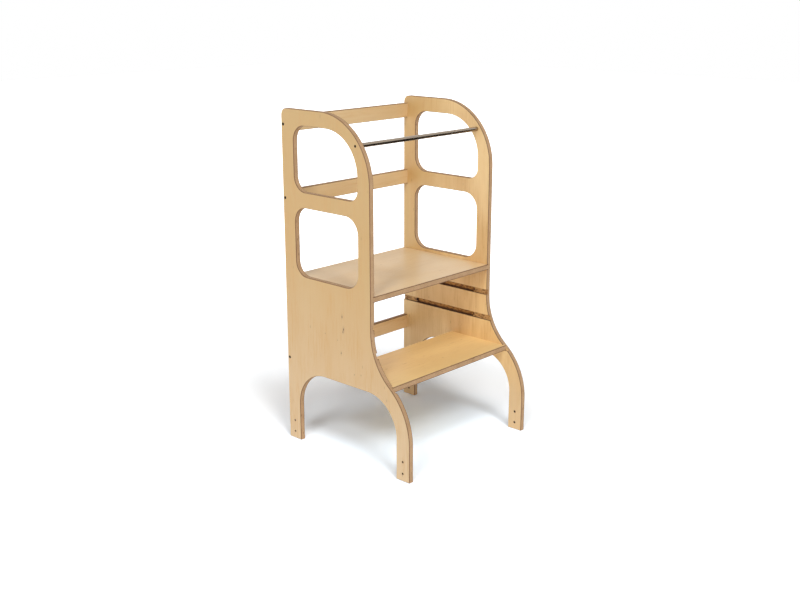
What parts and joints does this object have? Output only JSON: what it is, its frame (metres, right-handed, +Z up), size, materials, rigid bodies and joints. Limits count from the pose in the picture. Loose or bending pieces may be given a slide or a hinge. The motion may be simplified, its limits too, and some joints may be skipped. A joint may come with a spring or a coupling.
{
  "type": "toddler kitchen helper stool",
  "caption": "Plywood helper stool with arched side panels, a standing platform that slides in grooves, a step, rear rails and a steel grab bar.",
  "frame": {"origin": "on the floor, at the middle of the stool's footprint", "axes": "+Z up, the front faces -Y, +X towards the right-hand panel as seen from the front"},
  "size_m": [0.476, 0.447, 0.9],
  "materials": {
    "birch_plywood": "clear satin lacquer",
    "beech_dowels": "plain turned beech",
    "bar_steel": "brushed along its length",
    "black_screws": "black zinc",
    "zinc_screws": "bright zinc"
  },
  "bodies": {
    "frame": {"left_side_panel": "birch_plywood", "right_side_panel": "birch_plywood", "top_rear_rail": "birch_plywood", "middle_rear_rail": "birch_plywood", "low_rear_rail": "birch_plywood", "front_grab_bar": "bar_steel", "step_board": "birch_plywood", "rail_screws": "black_screws", "rail_dowels": "beech_dowels", "grab_bar_screws": "black_screws", "step_screws": "zinc_screws"},
    "platform": {"standing_platform": "birch_plywood", "platform_lock_screws": "zinc_screws"}
  },
  "joints": [
    {"name": "platform_slide", "type": "slide", "parent": "frame", "child": "platform", "axis": [0, -1, 0], "range_m": [-0.3, 0.3]}
  ]
}
